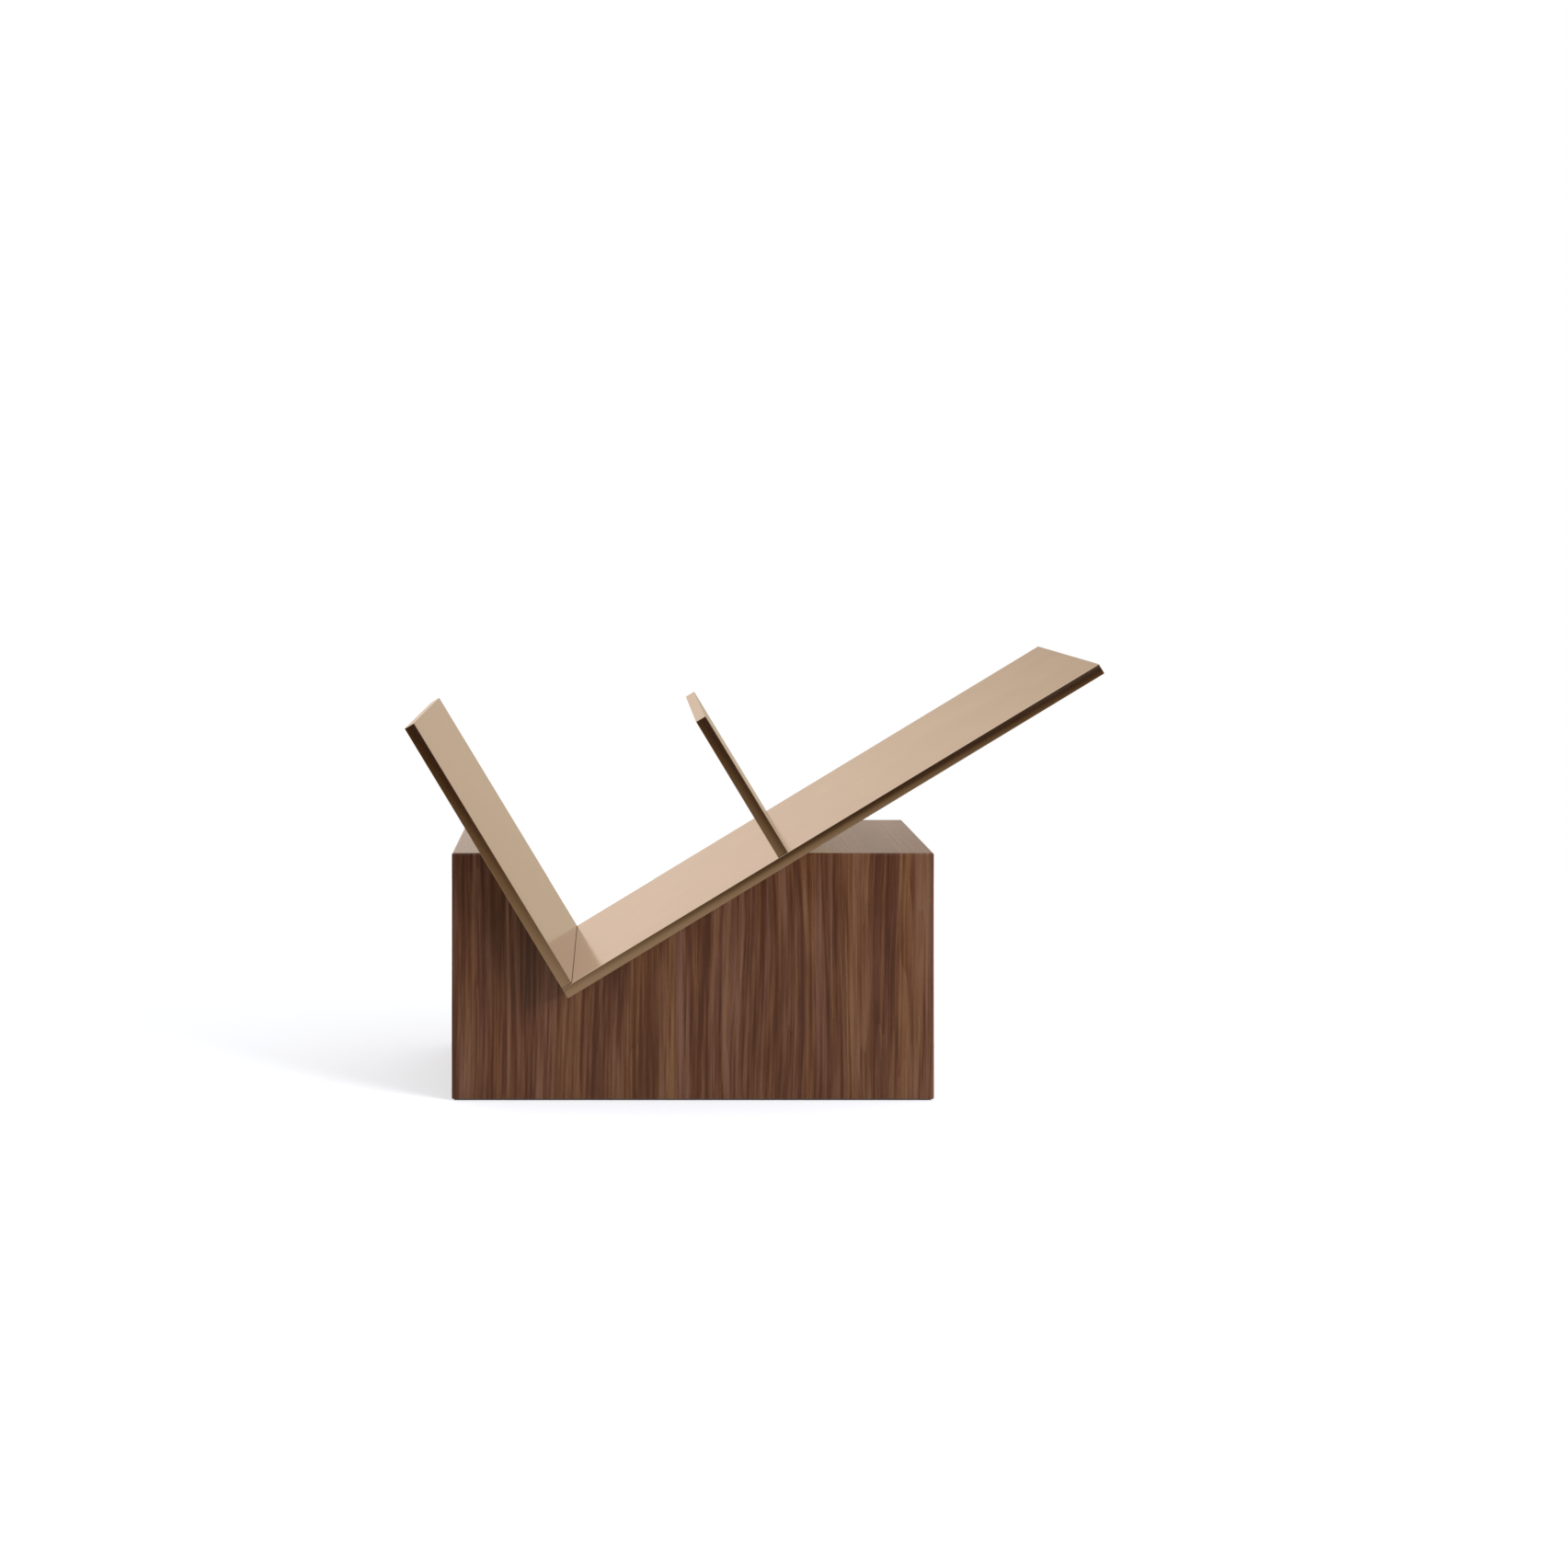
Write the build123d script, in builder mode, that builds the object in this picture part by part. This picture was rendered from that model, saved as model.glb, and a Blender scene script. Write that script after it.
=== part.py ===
"""Photo album stand: a walnut veneered block with a V notch that carries a tray of three metal plates.

The origin is on the table, under the centre of the block. +X points to the raised end of the long plate,
+Y to the back, +Z up. All sizes are millimetres.
"""

import os
from math import cos, radians, sin, tan

from build123d import *

os.makedirs("parts", exist_ok=True)

# Wooden block
block_width = 390.0
block_depth = 200.0
block_height = 199.0
panel_thickness = 18.0
arris_radius = 1.5
felt_thickness = 1.0
felt_inset = 2.0

# Metal tray, set by its outer corner, which sits in the bottom of the notch
tray_tilt = 31.2
corner_from_left = 94.5
corner_above_wood = 86.9
plate_thickness = 9.0
plate_overhang = 25.0
long_plate_length = 500.0
short_plate_length = 242.5
divider_length = 127.0
bay_width = 192.5
plate_edge_radius = 0.5
plate_edge_crown = 0.2

# Inner carcass
bed_thickness = 12.0
base_thickness = 12.0
base_clearance = 0.5
corner_block_size = 20.0
corner_block_gap = 5.0
cleat_size = 18.0

# Dowels between the beds and the front and back panels
dowel_diameter = 6.0
dowel_in_bed = 14.0
dowel_panel_floor = 8.0
dowel_end_margin = 25.0
dowel_chamfer = 0.6

# Screws that join the plates to each other
tray_screw_diameter = 3.0
tray_screw_head = 5.6
tray_screw_socket = 2.0
tray_screw_bite = 14.0
tray_screw_count = 4
tray_screw_margin = 15.0

# Bolts that hold the tray down on the beds
tray_bolt_diameter = 5.0
tray_bolt_head = 8.5
tray_bolt_head_height = 5.0
tray_bolt_socket = 4.0
tray_bolt_socket_depth = 2.5
tray_bolt_margin = 42.0
tray_bolt_wall_margin = 32.0
bolt_hole_floor = 1.5
washer_diameter = 10.0
washer_thickness = 1.0

# Screws that hold the base panel
base_screw_diameter = 3.5
base_screw_head = 7.0
base_screw_socket = 2.5
base_screw_bite = 13.0
base_screw_count = 3
base_screw_margin = 37.0

# Heads and clearances of the fasteners in their holes
countersink_angle = 90.0
fastener_clearance = 0.1
hole_end_gap = 0.5

# Levels and half sizes that follow
wood_bottom = felt_thickness
block_top = wood_bottom + block_height
land_underside = block_top - panel_thickness
base_top = wood_bottom + base_thickness
half_width = block_width / 2
half_depth = block_depth / 2
inner_half_width = half_width - panel_thickness
inner_half_depth = half_depth - panel_thickness
plate_depth = block_depth + 2 * plate_overhang
beyond_block = block_width + block_depth + block_height

# Tray axes: local x runs up the long plate, local y runs up the short plate
corner_x = corner_from_left - half_width
corner_z = wood_bottom + corner_above_wood
slope_x = cos(radians(tray_tilt))
slope_z = sin(radians(tray_tilt))
up_long = Vector(slope_x, 0, slope_z)
up_short = Vector(-slope_z, 0, slope_x)
tray_corner = Vector(corner_x, 0, corner_z)
tray_plane = Plane(origin=tray_corner, x_dir=up_long, z_dir=(0, -1, 0))

# Lengths of the beds, measured up the notch to the underside of the lands
bed_rise = land_underside - corner_z
long_bed_length = bed_rise / slope_z
short_bed_length = bed_rise / slope_x

# Places of the fasteners along the tray
divider_start = plate_thickness + bay_width
divider_middle = divider_start + plate_thickness / 2
screw_row_span = block_depth - 2 * tray_screw_margin
screw_row_step = screw_row_span / (tray_screw_count - 1)
screw_row = [i * screw_row_step - screw_row_span / 2 for i in range(tray_screw_count)]
bolt_row = [-(inner_half_depth - tray_bolt_wall_margin), inner_half_depth - tray_bolt_wall_margin]
long_bolt_places = [(x, y) for x in (tray_bolt_margin, long_bed_length - tray_bolt_margin) for y in bolt_row]
short_bolt_places = [(short_bed_length / 2, y) for y in bolt_row]
bed_middle = -bed_thickness / 2
dowel_places = [
    (dowel_end_margin, bed_middle),
    (long_bed_length - dowel_end_margin, bed_middle),
    (bed_middle, dowel_end_margin),
    (bed_middle, short_bed_length - dowel_end_margin),
]
base_screw_reach = inner_half_width - corner_block_size - base_screw_margin
base_screw_step = 2 * base_screw_reach / (base_screw_count - 1)
cleat_row = [i * base_screw_step - base_screw_reach for i in range(base_screw_count)]
cleat_middle = inner_half_depth - cleat_size / 2


# Fastener templates, each with its seat on XY and its shank along -Z
def countersunk_screw(diameter, head, length, socket):
    """Screw with a countersunk head, flush with XY, and a hexagon socket."""
    head_depth = (head - diameter) / 2 / tan(radians(countersink_angle / 2))
    with BuildPart() as screw:
        with BuildSketch(Plane.XZ):
            with BuildLine():
                Polyline(
                    (0, 0),
                    (head / 2, 0),
                    (diameter / 2, -head_depth),
                    (diameter / 2, -length),
                    (0, -length),
                    close=True,
                )
            make_face()
        revolve(axis=Axis.Z)
        with BuildSketch():
            RegularPolygon(socket / 2, 6, major_radius=False)
        extrude(amount=-head_depth, mode=Mode.SUBTRACT)
    return screw.part


plate_screw = countersunk_screw(
    tray_screw_diameter, tray_screw_head, plate_thickness + tray_screw_bite, tray_screw_socket
)
wood_screw = countersunk_screw(
    base_screw_diameter, base_screw_head, base_thickness + base_screw_bite, base_screw_socket
)

bolt_engagement = plate_thickness - bolt_hole_floor - hole_end_gap
with BuildPart() as tray_bolt:
    with BuildSketch():
        Circle(tray_bolt_diameter / 2)
    extrude(amount=-(washer_thickness + bed_thickness + bolt_engagement))
    with BuildSketch():
        Circle(tray_bolt_head / 2)
    extrude(amount=tray_bolt_head_height)
    with BuildSketch(Plane.XY.offset(tray_bolt_head_height)):
        RegularPolygon(tray_bolt_socket / 2, 6, major_radius=False)
    extrude(amount=-tray_bolt_socket_depth, mode=Mode.SUBTRACT)

with BuildPart() as tray_washer:
    with BuildSketch():
        Circle(washer_diameter / 2)
        Circle((tray_bolt_diameter + fastener_clearance) / 2, mode=Mode.SUBTRACT)
    extrude(amount=washer_thickness)

dowel_in_panel = panel_thickness - dowel_panel_floor
with BuildPart() as dowel:
    with BuildSketch(Plane.XY.offset(-dowel_in_bed)):
        Circle(dowel_diameter / 2)
    extrude(amount=dowel_in_bed + dowel_in_panel)
    chamfer(dowel.edges().filter_by(GeomType.CIRCLE), length=dowel_chamfer)

# Shapes that the wooden panels are cut from: outer form, notch and cavity
with BuildPart() as block_form:
    with BuildSketch(Plane.XY.offset(wood_bottom)):
        Rectangle(block_width, block_depth)
    extrude(amount=block_height)
    fillet(block_form.edges(), radius=arris_radius)

with BuildPart() as notch_space:
    with BuildSketch(tray_plane):
        Rectangle(beyond_block, beyond_block, align=(Align.MIN, Align.MIN))
    extrude(amount=plate_depth / 2, both=True)

with BuildPart() as cavity:
    with BuildSketch(Plane.XY.offset(wood_bottom)):
        Rectangle(2 * inner_half_width, 2 * inner_half_depth)
    extrude(amount=land_underside - wood_bottom)

# Mitre planes, each facing the front panel or a side panel, through the outer edges of the block
front_left_mitre = Plane(origin=(-half_width, -half_depth, 0), z_dir=(1, -1, 0))
front_right_mitre = Plane(origin=(half_width, -half_depth, 0), z_dir=(-1, -1, 0))
back_left_mitre = Plane(origin=(-half_width, half_depth, 0), z_dir=(1, 1, 0))
back_right_mitre = Plane(origin=(half_width, half_depth, 0), z_dir=(-1, 1, 0))
front_top_mitre = Plane(origin=(0, -half_depth, block_top), z_dir=(0, -1, -1))
back_top_mitre = Plane(origin=(0, half_depth, block_top), z_dir=(0, 1, -1))
left_top_mitre = Plane(origin=(-half_width, 0, block_top), z_dir=(-1, 0, -1))
right_top_mitre = Plane(origin=(half_width, 0, block_top), z_dir=(1, 0, -1))

# Planes that the dowel holes are drilled from, at the inner face of the front panel
panel_face = Plane(origin=tray_corner - Vector(0, inner_half_depth, 0), x_dir=up_long, z_dir=(0, 1, 0))
bed_front_face = Plane(origin=tray_corner - Vector(0, inner_half_depth, 0), x_dir=up_long, z_dir=(0, -1, 0))
bed_back_face = Plane(origin=tray_corner + Vector(0, inner_half_depth, 0), x_dir=up_long, z_dir=(0, 1, 0))
long_dowel_places = dowel_places[:2]
short_dowel_places = dowel_places[2:]
mirrored_dowel_places = [(x, -y) for x, y in dowel_places]
mirrored_long_dowel_places = [(x, -y) for x, y in long_dowel_places]
mirrored_short_dowel_places = [(x, -y) for x, y in short_dowel_places]
dowel_hole_radius = (dowel_diameter + fastener_clearance) / 2

# Front and back panels, mitred to the sides and the lands
with BuildPart() as front_panel:
    with BuildSketch(Plane.XY.offset(wood_bottom)):
        with Locations((0, -half_depth)):
            Rectangle(block_width, panel_thickness, align=(Align.CENTER, Align.MIN))
    extrude(amount=block_height)
    split(bisect_by=front_left_mitre, keep=Keep.TOP)
    split(bisect_by=front_right_mitre, keep=Keep.TOP)
    split(bisect_by=front_top_mitre, keep=Keep.TOP)
    add(block_form.part, mode=Mode.INTERSECT)
    add(notch_space.part, mode=Mode.SUBTRACT)
    with Locations(panel_face):
        with Locations(*mirrored_dowel_places):
            Hole(dowel_hole_radius, depth=dowel_in_panel + hole_end_gap)
front_panel.part.label = "front_panel"

with BuildPart() as back_panel:
    mirror(front_panel.part, about=Plane.XZ)
back_panel.part.label = "back_panel"

# Side panels
with BuildPart() as left_side_panel:
    with BuildSketch(Plane.XY.offset(wood_bottom)):
        with Locations((-half_width, 0)):
            Rectangle(panel_thickness, block_depth, align=(Align.MIN, Align.CENTER))
    extrude(amount=block_height)
    split(bisect_by=front_left_mitre, keep=Keep.BOTTOM)
    split(bisect_by=back_left_mitre, keep=Keep.BOTTOM)
    split(bisect_by=left_top_mitre, keep=Keep.TOP)
    add(block_form.part, mode=Mode.INTERSECT)
    add(notch_space.part, mode=Mode.SUBTRACT)
left_side_panel.part.label = "left_side_panel"

with BuildPart() as right_side_panel:
    with BuildSketch(Plane.XY.offset(wood_bottom)):
        with Locations((half_width, 0)):
            Rectangle(panel_thickness, block_depth, align=(Align.MAX, Align.CENTER))
    extrude(amount=block_height)
    split(bisect_by=front_right_mitre, keep=Keep.BOTTOM)
    split(bisect_by=back_right_mitre, keep=Keep.BOTTOM)
    split(bisect_by=right_top_mitre, keep=Keep.TOP)
    add(block_form.part, mode=Mode.INTERSECT)
    add(notch_space.part, mode=Mode.SUBTRACT)
right_side_panel.part.label = "right_side_panel"

# Lands, the level tops on either side of the notch
with BuildPart() as left_land_panel:
    with BuildSketch(Plane.XY.offset(land_underside)):
        with Locations((-half_width, 0)):
            Rectangle(corner_from_left, block_depth, align=(Align.MIN, Align.CENTER))
    extrude(amount=panel_thickness)
    split(bisect_by=left_top_mitre, keep=Keep.BOTTOM)
    split(bisect_by=front_top_mitre, keep=Keep.BOTTOM)
    split(bisect_by=back_top_mitre, keep=Keep.BOTTOM)
    add(block_form.part, mode=Mode.INTERSECT)
    add(notch_space.part, mode=Mode.SUBTRACT)
left_land_panel.part.label = "left_land_panel"

with BuildPart() as right_land_panel:
    with BuildSketch(Plane.XY.offset(land_underside)):
        with Locations((half_width, 0)):
            Rectangle(block_width - corner_from_left, block_depth, align=(Align.MAX, Align.CENTER))
    extrude(amount=panel_thickness)
    split(bisect_by=right_top_mitre, keep=Keep.BOTTOM)
    split(bisect_by=front_top_mitre, keep=Keep.BOTTOM)
    split(bisect_by=back_top_mitre, keep=Keep.BOTTOM)
    add(block_form.part, mode=Mode.INTERSECT)
    add(notch_space.part, mode=Mode.SUBTRACT)
right_land_panel.part.label = "right_land_panel"

# Planes that the tray bolts go in from, on the hidden faces of the beds
long_bed_outside = Plane(origin=tray_corner - up_short * bed_thickness, x_dir=up_long, z_dir=-up_short)
short_bed_outside = Plane(origin=tray_corner - up_long * bed_thickness, x_dir=up_short, z_dir=-up_long)
bolt_hole_radius = (tray_bolt_diameter + fastener_clearance) / 2

# Beds, the two sloping boards under the tray
with BuildPart() as long_bed_panel:
    with BuildSketch(tray_plane):
        with Locations((-bed_thickness, 0)):
            Rectangle(beyond_block, bed_thickness, align=(Align.MIN, Align.MAX))
    extrude(amount=inner_half_depth, both=True)
    add(cavity.part, mode=Mode.INTERSECT)
    with Locations(long_bed_outside):
        with Locations(*long_bolt_places):
            Hole(bolt_hole_radius, depth=bed_thickness)
    with Locations(bed_front_face):
        with Locations(*long_dowel_places):
            Hole(dowel_hole_radius, depth=dowel_in_bed + hole_end_gap)
    with Locations(bed_back_face):
        with Locations(*mirrored_long_dowel_places):
            Hole(dowel_hole_radius, depth=dowel_in_bed + hole_end_gap)
long_bed_panel.part.label = "long_bed_panel"

with BuildPart() as short_bed_panel:
    with BuildSketch(tray_plane):
        Rectangle(bed_thickness, beyond_block, align=(Align.MAX, Align.MIN))
    extrude(amount=inner_half_depth, both=True)
    add(cavity.part, mode=Mode.INTERSECT)
    with Locations(short_bed_outside):
        with Locations(*short_bolt_places):
            Hole(bolt_hole_radius, depth=bed_thickness)
    with Locations(bed_front_face):
        with Locations(*short_dowel_places):
            Hole(dowel_hole_radius, depth=dowel_in_bed + hole_end_gap)
    with Locations(bed_back_face):
        with Locations(*mirrored_short_dowel_places):
            Hole(dowel_hole_radius, depth=dowel_in_bed + hole_end_gap)
short_bed_panel.part.label = "short_bed_panel"

with BuildPart() as bed_dowels:
    with Locations(bed_front_face):
        with Locations(*dowel_places):
            add(dowel.part)
    with Locations(bed_back_face):
        with Locations(*mirrored_dowel_places):
            add(dowel.part)
bed_dowels.part.label = "bed_dowels"

# Base panel, let in between the walls and screwed up into the cleats
base_face = Plane(origin=(0, 0, wood_bottom), x_dir=(1, 0, 0), z_dir=(0, 0, -1))
base_screw_places = [(x, y) for x in cleat_row for y in (-cleat_middle, cleat_middle)]
base_screw_hole = (base_screw_diameter + fastener_clearance) / 2
base_screw_sink = (base_screw_head + fastener_clearance) / 2
with BuildPart() as base_panel:
    with BuildSketch(Plane.XY.offset(wood_bottom)):
        Rectangle(2 * (inner_half_width - base_clearance), 2 * (inner_half_depth - base_clearance))
    extrude(amount=base_thickness)
    with Locations(base_face):
        with Locations(*base_screw_places):
            CounterSinkHole(
                base_screw_hole, base_screw_sink, depth=base_thickness, counter_sink_angle=countersink_angle
            )
base_panel.part.label = "base_panel"

cleat_face = Plane(origin=(0, 0, base_top), x_dir=(1, 0, 0), z_dir=(0, 0, -1))
with BuildPart() as base_cleat_front:
    with BuildSketch(Plane.XY.offset(base_top)):
        with Locations((0, -inner_half_depth)):
            Rectangle(2 * (inner_half_width - corner_block_size), cleat_size, align=(Align.CENTER, Align.MIN))
    extrude(amount=cleat_size)
    with Locations(cleat_face):
        with Locations(*[(x, cleat_middle) for x in cleat_row]):
            Hole(base_screw_hole, depth=base_screw_bite + hole_end_gap)
base_cleat_front.part.label = "base_cleat_front"

with BuildPart() as base_cleat_back:
    mirror(base_cleat_front.part, about=Plane.XZ)
base_cleat_back.part.label = "base_cleat_back"

with BuildPart() as base_screws:
    with Locations(base_face):
        with Locations(*base_screw_places):
            add(wood_screw)
base_screws.part.label = "base_screws"

# Corner blocks, glued into the four upright corners below the short bed
block_inner_edge = inner_half_width - corner_block_size
bed_run = (corner_x - bed_thickness * slope_x + block_inner_edge) / slope_z
bed_level = corner_z - bed_thickness * slope_z + bed_run * slope_x
corner_block_top = min(bed_level, land_underside) - corner_block_gap
corner_blocks = []
for depth_name, depth_sign in (("front", -1), ("back", 1)):
    for width_name, width_sign in (("left", -1), ("right", 1)):
        block_middle = (
            width_sign * (inner_half_width - corner_block_size / 2),
            depth_sign * (inner_half_depth - corner_block_size / 2),
        )
        with BuildPart() as corner_block:
            with BuildSketch(Plane.XY.offset(base_top)):
                with Locations(block_middle):
                    Rectangle(corner_block_size, corner_block_size)
            extrude(amount=corner_block_top - base_top)
        corner_block.part.label = f"corner_block_{depth_name}_{width_name}"
        corner_blocks.append(corner_block)

# Felt under the block, which it stands on
with BuildPart() as felt_underlay:
    with BuildSketch():
        Rectangle(block_width - 2 * felt_inset, block_depth - 2 * felt_inset)
    extrude(amount=felt_thickness)
felt_underlay.part.label = "felt_underlay"

# Planes that the tray screws and bolts enter the plates from
long_plate_underside = Plane(origin=tray_corner, x_dir=up_long, z_dir=-up_short)
short_plate_outside = Plane(origin=tray_corner, x_dir=up_short, z_dir=-up_long)
plate_joint = Plane(origin=tray_corner + up_short * plate_thickness, x_dir=up_long, z_dir=-up_short)
short_screw_places = [(plate_thickness / 2, y) for y in screw_row]
divider_screw_places = [(divider_middle, y) for y in screw_row]
tray_screw_hole = (tray_screw_diameter + fastener_clearance) / 2
tray_screw_sink = (tray_screw_head + fastener_clearance) / 2
bolt_hole_depth = plate_thickness - bolt_hole_floor

# Section of every plate, depth along x and thickness along y, with its front and back edges slightly crowned
edge_start = plate_depth / 2 - plate_edge_crown
with BuildSketch() as plate_section:
    with BuildLine():
        Line((0, 0), (edge_start, 0))
        ThreePointArc((edge_start, 0), (plate_depth / 2, plate_thickness / 2), (edge_start, plate_thickness))
        Line((edge_start, plate_thickness), (0, plate_thickness))
        mirror(about=Plane.YZ)
    make_face()
long_plate_start = Plane(origin=tray_corner, x_dir=(0, 1, 0), z_dir=up_long)
short_plate_start = Plane(origin=tray_corner + up_short * plate_thickness, x_dir=(0, -1, 0), z_dir=up_short)
divider_foot = Plane(
    origin=short_plate_start.origin + up_long * divider_start, x_dir=(0, -1, 0), z_dir=up_short
)

# Long plate, which lies on the long slope of the notch and carries the other two
with BuildPart() as long_plate:
    with BuildSketch(long_plate_start):
        add(plate_section.sketch)
    extrude(amount=long_plate_length)
    fillet(long_plate.edges(), radius=plate_edge_radius)
    with Locations(long_plate_underside):
        with Locations(*short_screw_places, *divider_screw_places):
            CounterSinkHole(
                tray_screw_hole, tray_screw_sink, depth=plate_thickness, counter_sink_angle=countersink_angle
            )
        with Locations(*long_bolt_places):
            Hole(bolt_hole_radius, depth=bolt_hole_depth)
long_plate.part.label = "long_plate"

# Short plate, which stands on the lower end of the long plate and leans on the short slope
with BuildPart() as short_plate:
    with BuildSketch(short_plate_start):
        add(plate_section.sketch)
    extrude(amount=short_plate_length)
    fillet(short_plate.edges(), radius=plate_edge_radius)
    with Locations(plate_joint):
        with Locations(*short_screw_places):
            Hole(tray_screw_hole, depth=tray_screw_bite + hole_end_gap)
    with Locations(short_plate_outside):
        with Locations(*short_bolt_places):
            Hole(bolt_hole_radius, depth=bolt_hole_depth)
short_plate.part.label = "short_plate"

# Divider, which closes the album bay
with BuildPart() as divider_plate:
    with BuildSketch(divider_foot):
        add(plate_section.sketch)
    extrude(amount=divider_length)
    fillet(divider_plate.edges(), radius=plate_edge_radius)
    with Locations(plate_joint):
        with Locations(*divider_screw_places):
            Hole(tray_screw_hole, depth=tray_screw_bite + hole_end_gap)
divider_plate.part.label = "divider_plate"

# Fasteners of the tray
with BuildPart() as short_plate_screws:
    with Locations(long_plate_underside):
        with Locations(*short_screw_places):
            add(plate_screw)
short_plate_screws.part.label = "short_plate_screws"

with BuildPart() as divider_screws:
    with Locations(long_plate_underside):
        with Locations(*divider_screw_places):
            add(plate_screw)
divider_screws.part.label = "divider_screws"

with BuildPart() as tray_washers:
    with Locations(long_bed_outside):
        with Locations(*long_bolt_places):
            add(tray_washer.part)
    with Locations(short_bed_outside):
        with Locations(*short_bolt_places):
            add(tray_washer.part)
tray_washers.part.label = "tray_washers"

with BuildPart() as tray_bolts:
    with Locations(long_bed_outside.offset(washer_thickness)):
        with Locations(*long_bolt_places):
            add(tray_bolt.part)
    with Locations(short_bed_outside.offset(washer_thickness)):
        with Locations(*short_bolt_places):
            add(tray_bolt.part)
tray_bolts.part.label = "tray_bolts"

pieces = [
    front_panel,
    back_panel,
    left_side_panel,
    right_side_panel,
    left_land_panel,
    right_land_panel,
    long_bed_panel,
    short_bed_panel,
    bed_dowels,
    base_panel,
    base_cleat_front,
    base_cleat_back,
    base_screws,
    *corner_blocks,
    felt_underlay,
    long_plate,
    short_plate,
    divider_plate,
    short_plate_screws,
    divider_screws,
    tray_washers,
    tray_bolts,
]
for piece in pieces:
    export_step(piece.part, f"parts/{piece.part.label}.step")
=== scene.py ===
import math

import bmesh
import bpy
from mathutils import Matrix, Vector, noise


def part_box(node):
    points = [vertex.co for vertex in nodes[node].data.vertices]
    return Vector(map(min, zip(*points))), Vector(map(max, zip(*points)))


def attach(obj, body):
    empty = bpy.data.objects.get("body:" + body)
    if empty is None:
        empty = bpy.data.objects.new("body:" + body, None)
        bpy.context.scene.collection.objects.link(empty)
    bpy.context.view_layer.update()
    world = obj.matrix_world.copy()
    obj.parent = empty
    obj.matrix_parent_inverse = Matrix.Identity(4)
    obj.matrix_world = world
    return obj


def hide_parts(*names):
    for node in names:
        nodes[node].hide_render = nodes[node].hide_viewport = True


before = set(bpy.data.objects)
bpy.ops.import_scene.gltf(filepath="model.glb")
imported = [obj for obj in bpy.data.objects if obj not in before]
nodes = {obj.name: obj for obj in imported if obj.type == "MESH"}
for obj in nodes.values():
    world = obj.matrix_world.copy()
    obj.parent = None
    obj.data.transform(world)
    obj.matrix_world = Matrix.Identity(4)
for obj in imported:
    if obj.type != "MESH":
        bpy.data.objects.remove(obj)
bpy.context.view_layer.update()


# Felt underlay
# A sheet of dark wool felt that keeps the block from marking the table.
# It is knife cut a little inside the block all round, and glued to the base board.
felt_low, felt_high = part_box("felt_underlay")
felt_size = felt_high - felt_low
felt_middle = (felt_low + felt_high) / 2
felt_cell = 0.006
felt_rim_round = 0.0003
felt_rim_wander = 0.00035
felt_rim_waves = 90
felt_rim_turn = math.radians(60)
felt_mesh = bmesh.new()
bmesh.ops.create_grid(
    felt_mesh,
    x_segments=round(felt_size.x / felt_cell),
    y_segments=round(felt_size.y / felt_cell),
    size=0.5,
)
bmesh.ops.scale(felt_mesh, vec=(felt_size.x, felt_size.y, 1), verts=felt_mesh.verts)
bmesh.ops.translate(
    felt_mesh, vec=(felt_middle.x, felt_middle.y, felt_high.z), verts=felt_mesh.verts
)
for vert in felt_mesh.verts:
    if vert.is_boundary:
        inward = Vector((-vert.co.x, -vert.co.y, 0)).normalized()
        vert.co += inward * felt_rim_wander * abs(noise.noise(vert.co * felt_rim_waves))
bmesh.ops.reverse_faces(felt_mesh, faces=felt_mesh.faces)
bmesh.ops.solidify(felt_mesh, geom=felt_mesh.faces[:], thickness=-felt_size.z)
bmesh.ops.recalc_face_normals(felt_mesh, faces=felt_mesh.faces)
felt_rim = [edge for edge in felt_mesh.edges if edge.calc_face_angle(0) > felt_rim_turn]
bmesh.ops.bevel(
    felt_mesh,
    geom=felt_rim,
    offset=felt_rim_round,
    segments=2,
    profile=0.5,
    affect="EDGES",
    material=-1,
)
felt_data = bpy.data.meshes.new("felt_sheet")
felt_mesh.to_mesh(felt_data)
felt_mesh.free()
felt_data.shade_smooth()
felt_sheet = bpy.data.objects.new("felt_sheet", felt_data)
bpy.context.collection.objects.link(felt_sheet)


def srgb(red, green, blue):
    """A colour given in 0 to 255 screen values, as the shader's linear RGBA."""
    screen = [value / 255 for value in (red, green, blue)]
    linear = [v / 12.92 if v <= 0.04045 else ((v + 0.055) / 1.055) ** 2.4 for v in screen]
    return (*linear, 1.0)


def add_node(tree, kind, sockets=None, **settings):
    """Adds a node; sockets gives, for an input, its value or the output that feeds it."""
    node = tree.nodes.new(kind)
    for name, value in settings.items():
        setattr(node, name, value)
    for name, value in (sockets or {}).items():
        if isinstance(value, bpy.types.NodeSocket):
            tree.links.new(value, node.inputs[name])
        else:
            node.inputs[name].default_value = value
    return node


def new_finish(name, **plain):
    """A material with one Principled shader, whose plain values are the same all over the surface."""
    finish = bpy.data.materials.new(name)
    finish.use_nodes = True
    shader = finish.node_tree.nodes["Principled BSDF"]
    for socket, value in plain.items():
        shader.inputs[socket.replace("_", " ")].default_value = value
    return finish, finish.node_tree, shader


def feed(tree, node, **outputs):
    """Links outputs of other nodes to the inputs of a node that have these names."""
    for socket, output in outputs.items():
        tree.links.new(output, node.inputs[socket.replace("_", " ")])


def place_on(tree):
    """Where a point of the piece lies in the shared frame, in metres."""
    return add_node(tree, "ShaderNodeTexCoord").outputs["Object"]


def speckle(tree, place, scale, **values):
    """Noise from 0 to 1 over a place, with about this many patches to the unit."""
    sockets = {"Vector": place, "Scale": scale} | values
    return add_node(tree, "ShaderNodeTexNoise", sockets).outputs["Fac"]


def math_node(tree, operation, first, second=0.0):
    """One operation on two values."""
    return add_node(tree, "ShaderNodeMath", {0: first, 1: second}, operation=operation).outputs[0]


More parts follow.
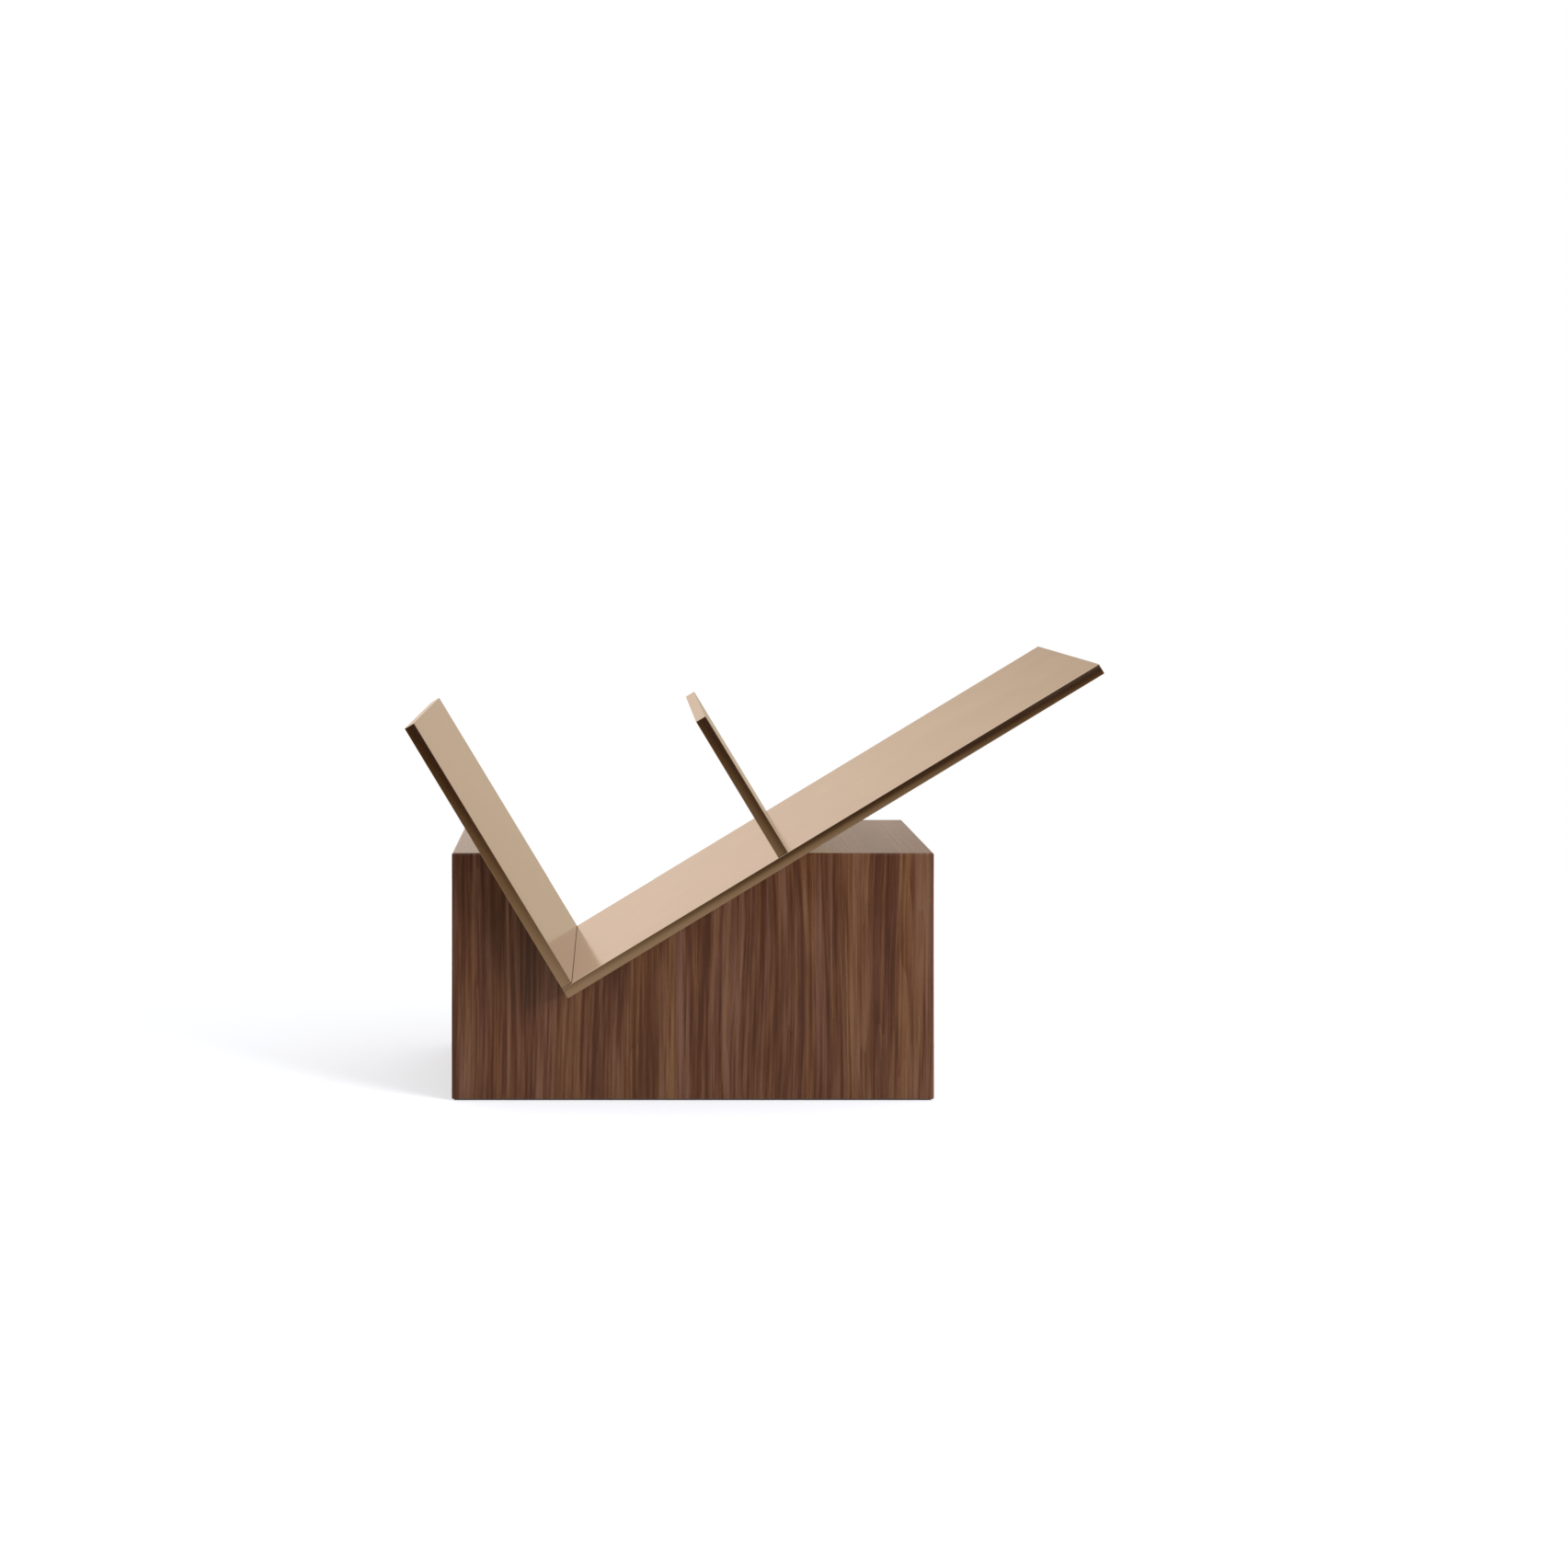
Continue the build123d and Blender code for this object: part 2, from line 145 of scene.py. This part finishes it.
def remap(tree, value, span=(0, 1), reach=(0, 1)):
    """Stretches a value so that its span becomes the reach, and holds it there beyond the span."""
    sockets = {"Value": value}
    sockets |= {"From Min": span[0], "From Max": span[1], "To Min": reach[0], "To Max": reach[1]}
    return add_node(tree, "ShaderNodeMapRange", sockets).outputs["Result"]


def ramp(tree, value, stops):
    """A colour ramp over the value; stops are pairs of a place and a colour."""
    node = add_node(tree, "ShaderNodeValToRGB", {"Fac": value})
    keys = node.color_ramp.elements
    while len(keys) < len(stops):
        keys.new(0.5)
    for key, (place, colour) in zip(keys, stops):
        key.position = place
        key.color = colour
    return node.outputs["Color"]


def relief(tree, height, strength, distance):
    """The surface normal, with the fine relief that a height mask gives."""
    sockets = {"Height": height, "Strength": strength, "Distance": distance}
    return add_node(tree, "ShaderNodeBump", sockets).outputs["Normal"]


felt_tones = [(0.1, srgb(30, 24, 21)), (0.45, srgb(58, 48, 43))]
felt, tree, shader = new_finish("felt", Sheen_Weight=0.35, Sheen_Roughness=0.6)
place = place_on(tree)
fibres = speckle(tree, place, scale=900, Detail=4, Distortion=1.6)
matting = speckle(tree, place, scale=60, Detail=3)
mottle = math_node(tree, "MULTIPLY", fibres, matting)
feed(
    tree,
    shader,
    Base_Color=ramp(tree, mottle, felt_tones),
    Roughness=remap(tree, matting, reach=(0.85, 1.0)),
    Normal=relief(tree, fibres, strength=0.6, distance=0.0004),
)
felt_data.materials.append(felt)
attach(felt_sheet, "root")
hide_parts("felt_underlay")


# Base board, beds, cleats and corner blocks
# The base board and the two sloping beds under the tray are birch plywood. The base is screwed up into
# two pine cleats, so that it comes off for the tray bolts, and pine blocks are glued into the corners.

# The figure's streaks lie in layers, each half as wide as the last, and a share is a layer's strength.
streak_shares = (0.02, 0.24, 0.08, 0.28, 0.23, 0.15)
streak_shortening = 0.55
streak_offset = 0.37
far_leaf_offset = 3.7
drift_width, drift_length = 0.13, 0.45
ring_width_share = 0.5
ring_crowding = 14.0
hue_width_share = 0.45
fibre_width, fibre_length = 0.0016, 0.024
pore_width, pore_length = 0.00034, 0.0055


def new_group(name, values, masks):
    """A node group that takes a Vector and these values, and gives these masks."""
    group = bpy.data.node_groups.new(name, "ShaderNodeTree")
    face = group.interface
    face.new_socket("Vector", in_out="INPUT", socket_type="NodeSocketVector")
    for value in values:
        face.new_socket(value, in_out="INPUT", socket_type="NodeSocketFloat")
    for mask in masks:
        face.new_socket(mask, in_out="OUTPUT", socket_type="NodeSocketFloat")
    given = add_node(group, "NodeGroupInput").outputs
    result = add_node(group, "NodeGroupOutput")
    return group, given, result


def use_group(tree, group, place, **values):
    """The masks of a node group, placed in a material with its own values."""
    sockets = {name.replace("_", " "): value for name, value in values.items()}
    return add_node(tree, "ShaderNodeGroup", {"Vector": place} | sockets, node_tree=group).outputs


def blend(tree, *shares):
    """The sum of masks, each times its share."""
    total = None
    for mask, share in shares:
        sockets = {0: mask, 1: share} | ({} if total is None else {2: total})
        operation = "MULTIPLY" if total is None else "MULTIPLY_ADD"
        total = add_node(tree, "ShaderNodeMath", sockets, operation=operation).outputs[0]
    return total


def long_grain_group():
    """Wood figure in a space with X across the leaf and Y along the grain, as masks from 0 to 1."""
    group, given, result = new_group(
        "long_grain",
        values=("Band Width", "Band Length", "Sway"),
        masks=("Figure", "Rings", "Hue", "Fibres", "Pores"),
    )
    band_width, band_length = given["Band Width"], given["Band Length"]
    split = add_node(group, "ShaderNodeSeparateXYZ", {0: given["Vector"]}).outputs
    leaf_x, along, through = split["X"], split["Y"], split["Z"]

    def stretched(across, width, length, **values):
        """Noise whose largest patches are about this wide and this long."""
        sockets = {
            "X": math_node(group, "DIVIDE", across, width),
            "Y": math_node(group, "DIVIDE", along, length),
            "Z": math_node(group, "DIVIDE", through, width),
        }
        spot = add_node(group, "ShaderNodeCombineXYZ", sockets).outputs[0]
        return speckle(group, spot, scale=1.0, **values)

    drift = math_node(group, "SUBTRACT", stretched(leaf_x, drift_width, drift_length, Detail=1.0), 0.5)
    swayed = math_node(group, "ADD", leaf_x, math_node(group, "MULTIPLY", drift, given["Sway"]))
    streaks = []
    for halving, share in enumerate(streak_shares):
        across = math_node(group, "ADD", swayed, streak_offset * halving)
        width = math_node(group, "MULTIPLY", band_width, 0.5**halving)
        length = math_node(group, "MULTIPLY", band_length, streak_shortening**halving)
        streaks.append((stretched(across, width, length, Detail=0.0), share))
    far_leaf = math_node(group, "ADD", swayed, far_leaf_offset)
    crowding = stretched(far_leaf, band_width, band_length, Detail=2.0)
    ring_width = math_node(group, "MULTIPLY", band_width, ring_width_share)
    year = math_node(group, "DIVIDE", swayed, ring_width)
    year = math_node(group, "ADD", year, math_node(group, "MULTIPLY", crowding, ring_crowding))
    hue_width = math_node(group, "MULTIPLY", band_width, hue_width_share)
    feed(
        group,
        result,
        Figure=blend(group, *streaks),
        Rings=math_node(group, "FRACT", year),
        Hue=stretched(far_leaf, hue_width, band_length, Detail=3.0, Roughness=0.85),
        Fibres=stretched(swayed, fibre_width, fibre_length, Detail=2.0),
        Pores=stretched(swayed, pore_width, pore_length, Detail=1.0),
    )
    return group


long_grain = long_grain_group()


def grain_masks(tree, turn, shift=(0, 0, 0), stretch=1.0, **values):
    """The long grain figure on a piece, turned so that Y runs along the grain."""
    sockets = {
        "Vector": place_on(tree),
        "Rotation": [math.radians(angle) for angle in turn],
        "Location": shift,
        "Scale": (1, 1 / stretch, 1),
    }
    leaf = add_node(tree, "ShaderNodeMapping", sockets).outputs["Vector"]
    return use_group(tree, long_grain, leaf, **values)


def raw_wood(name, turn, dark, light, **figure):
    """Plain planed wood with no lacquer."""
    finish, tree, shader = new_finish(name)
    masks = grain_masks(tree, turn, **figure)
    tone = blend(tree, (masks["Figure"], 0.7), (masks["Fibres"], 0.3))
    height = blend(tree, (masks["Fibres"], 0.6), (masks["Pores"], 0.4))
    feed(
        tree,
        shader,
        Base_Color=ramp(tree, tone, [(0.35, dark), (0.65, light)]),
        Roughness=remap(tree, masks["Fibres"], reach=(0.6, 0.78)),
        Normal=relief(tree, height, strength=0.3, distance=0.0002),
    )
    return finish


def dress(finish, *names):
    """Gives CAD nodes this finish."""
    for name in names:
        nodes[name].material_slots[0].material = finish


along_x, along_y, along_z = (0, 0, 90), (0, 0, 0), (-90, 0, 0)
birch = {
    "dark": srgb(176, 142, 102),
    "light": srgb(214, 186, 146),
    "Band_Width": 0.08,
    "Band_Length": 0.6,
    "Sway": 0.02,
}
pine = {
    "dark": srgb(178, 128, 76),
    "light": srgb(222, 184, 130),
    "Band_Width": 0.03,
    "Band_Length": 0.8,
    "Sway": 0.008,
}
birch_plywood = raw_wood("birch_plywood", along_x, **birch)
pine_upright = raw_wood("pine_upright", along_z, **pine)
pine_lengthwise = raw_wood("pine_lengthwise", along_x, **pine)
dress(birch_plywood, "base_panel", "long_bed_panel", "short_bed_panel")
dress(pine_lengthwise, "base_cleat_front", "base_cleat_back")
dress(
    pine_upright,
    "corner_block_front_left",
    "corner_block_front_right",
    "corner_block_back_left",
    "corner_block_back_right",
)


# Bed dowels
# Beech pins with chamfered ends. They are glued into the front and back edges of the two sloping beds,
# and into blind holes in the front and back panels.
beech = {
    "dark": srgb(186, 138, 96),
    "light": srgb(212, 168, 124),
    "Band_Width": 0.01,
    "Band_Length": 0.05,
    "Sway": 0.002,
}
dress(raw_wood("beech", along_y, **beech), "bed_dowels")


# Walnut panels
# Six boards faced with straight-grained walnut veneer, mitred, with eased arrises and a satin lacquer.
# One run of veneer goes up the front, over both lands and down the back, so its grain meets at the edges.
block_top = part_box("left_land_panel")[1].z
half_depth = -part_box("front_panel")[0].y
walnut_figure = {"Band_Width": 0.036, "Band_Length": 0.95, "Sway": 0.026}
walnut_tones = [
    (0.396, srgb(76, 37, 18)),
    (0.47, srgb(97, 56, 34)),
    (0.536, srgb(114, 74, 51)),
    (0.609, srgb(127, 89, 67)),
]
walnut_hues = [(0.38, (0.93, 0.912, 1.147, 1)), (0.62, (1.078, 1.094, 0.87, 1))]
walnut_pore = srgb(52, 32, 24)
pore_span = (0.62, 0.74)
pore_cover = 0.35


def mix(tree, factor, first, second, blend_type="MIX"):
    """Mixes two colours by a factor."""
    sockets = {0: factor, 6: first, 7: second}
    node = add_node(tree, "ShaderNodeMix", sockets, data_type="RGBA", blend_type=blend_type)
    return node.outputs[2]


def walnut_leaf(name, turn, shift=(0, 0, 0), stretch=1.0):
    """Satin lacquered walnut veneer, laid with its grain along the turned Y axis."""
    finish, tree, shader = new_finish(
        name, Specular_IOR_Level=0.25, Coat_Weight=1.0, Coat_Roughness=0.08
    )
    masks = grain_masks(tree, turn, shift, stretch, **walnut_figure)
    tone = blend(tree, (masks["Figure"], 0.85), (masks["Rings"], 0.05), (masks["Fibres"], 0.1))
    hue = ramp(tree, masks["Hue"], walnut_hues)
    tinted = mix(tree, 1.0, ramp(tree, tone, walnut_tones), hue, "MULTIPLY")
    pore = remap(tree, masks["Pores"], pore_span)
    height = blend(tree, (masks["Fibres"], 0.5), (pore, -0.8))
    feed(
        tree,
        shader,
        Base_Color=mix(tree, blend(tree, (pore, pore_cover)), tinted, walnut_pore),
        Roughness=remap(tree, masks["Fibres"], reach=(0.3, 0.42)),
        Normal=relief(tree, height, strength=0.05, distance=0.0002),
    )
    return finish


# Where on the log the run of veneer is cut, and how much longer its streaks are on the lands.
run_across, run_along = 3.2058, 11.62
land_stretch = 5.0
half_land = half_depth / land_stretch
over_lands = run_along + block_top + half_land
down_back = over_lands + block_top + half_land
down_z, along_z_on_sides = (90, 0, 0), (-90, -90, 0)
front_leaf = walnut_leaf("walnut_front", along_z, (run_across, run_along, -half_depth))
lands_leaf = walnut_leaf("walnut_lands", along_y, (run_across, over_lands, -block_top), land_stretch)
back_leaf = walnut_leaf("walnut_back", down_z, (run_across, down_back, -half_depth))
side_leaf = walnut_leaf("walnut_sides", along_z_on_sides)
dress(front_leaf, "front_panel")
dress(lands_leaf, "left_land_panel", "right_land_panel")
dress(back_leaf, "back_panel")
dress(side_leaf, "left_side_panel", "right_side_panel")


# Champagne metal plates
# The long plate, the short plate on its lower end and the divider: 9 mm bar with crowned edges and broken
# arrises, satin finished in a pale champagne tone. A fine dark line of painted shade runs along the
# standing feet, in the crease where they meet the long plate.
champagne = {
    "dark": srgb(212, 193, 173),
    "light": srgb(218, 198, 178),
    "smooth": 0.13,
    "rough": 0.21,
    "tooth": 1400.0,
}
tray_tilt = math.radians(31.2)
tray_rise = Vector((-math.sin(tray_tilt), 0, math.cos(tray_tilt)))
joint_level = min(vert.co.dot(tray_rise) for vert in nodes["short_plate"].data.vertices)
# The joint values below give the standing plates a thin band of painted shade just above their foot.
joint_shade_height = 0.0006
joint_shade_solid_share = 0.6
joint_shade_tone = srgb(112, 86, 66)
joint_roughness = 0.7


def satin_grain_group():
    """The fine tooth of a satin finished metal, and the faint clouding left by handling."""
    group, given, result = new_group("satin_grain", values=["Tooth"], masks=["Grain", "Clouds"])
    feed(
        group,
        result,
        Grain=speckle(group, given["Vector"], given["Tooth"], Detail=2.0),
        Clouds=speckle(group, given["Vector"], scale=16.0, Detail=4.0),
    )
    return group


satin_grain = satin_grain_group()


def satin_metal(name, dark, light, smooth, rough, tooth, joint_shade_span=None):
    """A satin metal; over a span of levels up the tray, a dark line of painted joint shade fades into it.
    """
    finish, tree, shader = new_finish(name, Metallic=1.0)
    place = place_on(tree)
    masks = use_group(tree, satin_grain, place, Tooth=tooth)
    colour = ramp(tree, masks["Clouds"], [(0.35, dark), (0.65, light)])
    blur = blend(tree, (masks["Clouds"], 0.6), (masks["Grain"], 0.4))
    blur = remap(tree, blur, reach=(smooth, rough))
    # Painted shade at the joint: the colour turns dark and the finish rough in a thin band above the
    # foot.
    if joint_shade_span:
        sockets = {0: place, 1: tray_rise}
        level = add_node(tree, "ShaderNodeVectorMath", sockets, operation="DOT_PRODUCT").outputs["Value"]
        clear = remap(tree, level, joint_shade_span)
        colour = mix(tree, clear, joint_shade_tone, colour)
        blur = remap(tree, clear, reach=(joint_roughness, blur))
    feed(
        tree,
        shader,
        Base_Color=colour,
        Roughness=blur,
        Normal=relief(tree, masks["Grain"], strength=0.012, distance=0.0001),
    )
    return finish


joint_shade_span = (joint_level + joint_shade_solid_share * joint_shade_height, joint_level + joint_shade_height)
lying_metal = satin_metal("champagne_metal_lying", **champagne)
standing_metal = satin_metal("champagne_metal_standing", **champagne, joint_shade_span=joint_shade_span)
dress(lying_metal, "long_plate")
dress(standing_metal, "short_plate", "divider_plate")


# Screws, bolts and washers
# Zinc plated steel: countersunk screws up into the two standing plates, tray bolts with washers
# through the beds, and the screws of the base board. All of them are hidden in use.
zinc_steel = satin_metal(
    "zinc_steel",
    dark=srgb(150, 152, 156),
    light=srgb(176, 178, 182),
    smooth=0.28,
    rough=0.42,
    tooth=2500.0,
)
dress(
    zinc_steel,
    "short_plate_screws",
    "divider_screws",
    "tray_bolts",
    "tray_washers",
    "base_screws",
)


# Studio floor
# A plain white floor that keeps the stand's soft shadow. It ends about a metre behind the stand, where
# the white of the surround goes on without an edge.
floor_reach = 2.6
floor_back = 1.0
floor_glow = 0.4
floor_paint = (0.85, 0.85, 0.85, 1)
floor_paint_seen = (0.81, 0.85, 0.94, 1)
white = (1, 1, 1, 1)


def studio_plane(name, low, high, finish):
    """A flat sheet of the studio between two corners; it isn't part of the stand."""
    corners = (low, (high[0], low[1], low[2]), high, (low[0], high[1], high[2]))
    mesh = bmesh.new()
    mesh.faces.new([mesh.verts.new(corner) for corner in corners])
    data = bpy.data.meshes.new(name)
    mesh.to_mesh(data)
    mesh.free()
    data.materials.append(finish)
    sheet = bpy.data.objects.new(name, data)
    bpy.context.collection.objects.link(sheet)
    return sheet


def ray_mask(tree, *kinds):
    """1 for these kinds of ray, and 0 for the others."""
    light_path = add_node(tree, "ShaderNodeLightPath").outputs
    mask = light_path[f"Is {kinds[0]} Ray"]
    for kind in kinds[1:]:
        mask = math_node(tree, "MAXIMUM", mask, light_path[f"Is {kind} Ray"])
    return mask


floor_finish, tree, shader = new_finish(
    "studio_floor", Roughness=0.9, Specular_IOR_Level=0.0, Emission_Color=white
)
seen = ray_mask(tree, "Camera", "Glossy", "Transmission")
feed(
    tree,
    shader,
    Base_Color=mix(tree, ray_mask(tree, "Camera"), floor_paint, floor_paint_seen),
    Emission_Strength=math_node(tree, "MULTIPLY", seen, floor_glow),
)
studio_plane(
    "studio_floor", (-floor_reach, -floor_reach, 0), (floor_reach, floor_back, 0), floor_finish
)


# Dark card and floor cloth
# A card far in front of the stand, and a cloth on the floor that runs from it under the stand. Both are
# seen in reflections alone, and give the satin plates the dark lines and gradients of their edges.
black = (0, 0, 0, 1)
card_distance = 3.5
card_width = 3.0
card_height = 0.74
card_fade_start = 0.46
card_lift = 0.001
card_tones = [(0.0, (0.024, 0.006, 0.0005, 1)), (0.6, (0.03, 0.009, 0.001, 1))]
cloth_back = 0.4
cloth_fade_start = 0.1
cloth_slant_end = 0.3
cloth_span = (-0.6, -3.7)
cloth_tones = [
    (0.0, (0.37, 0.29, 0.215, 1)),
    (0.08, (0.3, 0.23, 0.158, 1)),
    (0.19, (0.215, 0.15, 0.09, 1)),
    (0.3, (0.17, 0.115, 0.06, 1)),
    (0.5, (0.07, 0.031, 0.007, 1)),
    (0.75, (0.038, 0.012, 0.001, 1)),
    (1.0, (0.028, 0.007, 0.001, 1)),
]


def glowing_finish(name):
    """A finish that shows its own glow alone, with the X, Y and Z that the glow is worked out from."""
    finish, tree, shader = new_finish(
        name, Base_Color=black, Roughness=0.9, Specular_IOR_Level=0.0, Emission_Strength=1.0
    )
    split = add_node(tree, "ShaderNodeSeparateXYZ", {0: place_on(tree)}).outputs
    return finish, tree, shader, split


def reflected_plane(name, low, high, finish):
    """A plane of the studio that is seen in reflections alone."""
    sheet = studio_plane(name, low, high, finish)
    sheet.visible_camera = False
    sheet.visible_diffuse = False
    sheet.visible_shadow = False
    sheet.visible_transmission = False


card_finish, tree, shader, split = glowing_finish("dark_card")
feed(
    tree,
    shader,
    Emission_Color=ramp(tree, split["Z"], card_tones),
    Alpha=remap(tree, split["Z"], (card_fade_start, card_height), (1, 0)),
)
card_corner = (-card_width, -card_distance, card_lift)
reflected_plane("dark_card", card_corner, (card_width, -card_distance, card_height), card_finish)

cloth_finish, tree, shader, split = glowing_finish("floor_cloth")
slant = math_node(tree, "MINIMUM", split["X"], cloth_slant_end)
slanted_depth = math_node(tree, "ADD", slant, split["Y"])
feed(
    tree,
    shader,
    Emission_Color=ramp(tree, remap(tree, slanted_depth, cloth_span), cloth_tones),
    Alpha=remap(tree, split["Y"], (cloth_fade_start, cloth_back), (1, 0)),
)
reflected_plane("floor_cloth", card_corner, (card_width, cloth_back, card_lift), cloth_finish)


# Surround
# White where the camera sees it. The metal and the lacquer mirror warm walls low behind the stand, a
# dimmer room in front and near white overhead, and soft light comes from behind and above.
wall_span = (-0.12, 0.18)
wall_tones = [
    (0.0, (0.86, 0.715, 0.622, 1)),
    (0.4, (0.709, 0.582, 0.462, 1)),
    (0.5, (0.6, 0.49, 0.383, 1)),
    (0.55, (0.575, 0.468, 0.365, 1)),
    (0.67, (0.643, 0.525, 0.425, 1)),
    (0.8, (0.69, 0.57, 0.46, 1)),
    (0.9, (0.588, 0.475, 0.38, 1)),
    (1.0, (0.59, 0.487, 0.395, 1)),
]
low_wall_span = (0.0, 0.16)
low_wall_tint = (1, 1, 0.93, 1)
dim_span_across, dim_span_upward = (0.045, 0.1), (0.07, 0.16)
dim_tint = (0.72, 0.69, 0.71, 1)
front_to_wall_span = (-0.9, 0.0)
front_tone = (0.5, 0.46, 0.4, 1)
overhead_span = (0.32, 0.65)
overhead_tone = (0.93, 0.91, 0.88, 1)
soft_light_span = (-0.5, 0.6)
soft_light_front, soft_light_back = (0.06, 0.055, 0.05, 1), (0.9, 0.875, 0.83, 1)
world = bpy.data.worlds.new("studio_world")
bpy.context.scene.world = world
world.use_nodes = True
tree = world.node_tree
direction = add_node(tree, "ShaderNodeTexCoord").outputs["Generated"]
split = add_node(tree, "ShaderNodeSeparateXYZ", {0: direction}).outputs
rightward, upward = split["X"], split["Z"]
back_and_up = math_node(tree, "ADD", split["Y"], upward)
walls = ramp(tree, remap(tree, rightward, wall_span), wall_tones)
low_tint = mix(tree, remap(tree, upward, low_wall_span), low_wall_tint, white)
walls = mix(tree, 1.0, walls, low_tint, "MULTIPLY")
dim_across = remap(tree, rightward, dim_span_across)
dim_upward = remap(tree, upward, dim_span_upward)
dimming = mix(tree, math_node(tree, "MULTIPLY", dim_across, dim_upward), white, dim_tint)
walls = mix(tree, 1.0, walls, dimming, "MULTIPLY")
mirrored = mix(tree, remap(tree, back_and_up, front_to_wall_span), front_tone, walls)
mirrored = mix(tree, remap(tree, upward, overhead_span), mirrored, overhead_tone)
light_rise = remap(tree, back_and_up, soft_light_span)
soft_light = mix(tree, light_rise, soft_light_front, soft_light_back)
surround = mix(tree, ray_mask(tree, "Glossy"), soft_light, mirrored)
shown = mix(tree, ray_mask(tree, "Camera", "Transmission"), surround, white)
feed(tree, tree.nodes["Background"], Color=shown)


# Key lamp
# One large round lamp high on the right, in front of the stand. It lights the block and gives the soft
# shadow on the floor, and isn't mirrored itself.
key_place = Vector((3.5, -2.2, 2.05))
key_aim = Vector((0, 0, 0.15))
key_lamp = bpy.data.lights.new("key_lamp", "AREA")
key_lamp.shape = "DISK"
key_lamp.size = 2.0
key_lamp.energy = 144
key = bpy.data.objects.new("key_lamp", key_lamp)
key.location = key_place
key.rotation_euler = (key_aim - key_place).to_track_quat("-Z", "Y").to_euler()
key.visible_glossy = False
bpy.context.collection.objects.link(key)


# Camera
# Level, straight on to the front and a little above the plates, with the lens shifted down and to the
# right, as the photograph was framed. The focal length and the vanishing point are in its pixels.
image_width, image_height = 1704, 1705
focal_pixels = 2378
vanishing_x, vanishing_y = 669.0, 568.8
camera_place = (-0.0628, -1.867, 0.46675)
camera_data = bpy.data.cameras.new("camera")
camera_data.sensor_width = 36
camera_data.lens = camera_data.sensor_width * focal_pixels / image_height
camera_data.shift_x = (image_width / 2 - vanishing_x) / image_height
camera_data.shift_y = (vanishing_y - image_height / 2) / image_height
camera = bpy.data.objects.new("camera", camera_data)
camera.location = camera_place
camera.rotation_euler = (math.radians(90), 0, 0)
bpy.context.collection.objects.link(camera)
bpy.context.scene.camera = camera
bpy.context.scene.view_settings.view_transform = "Standard"
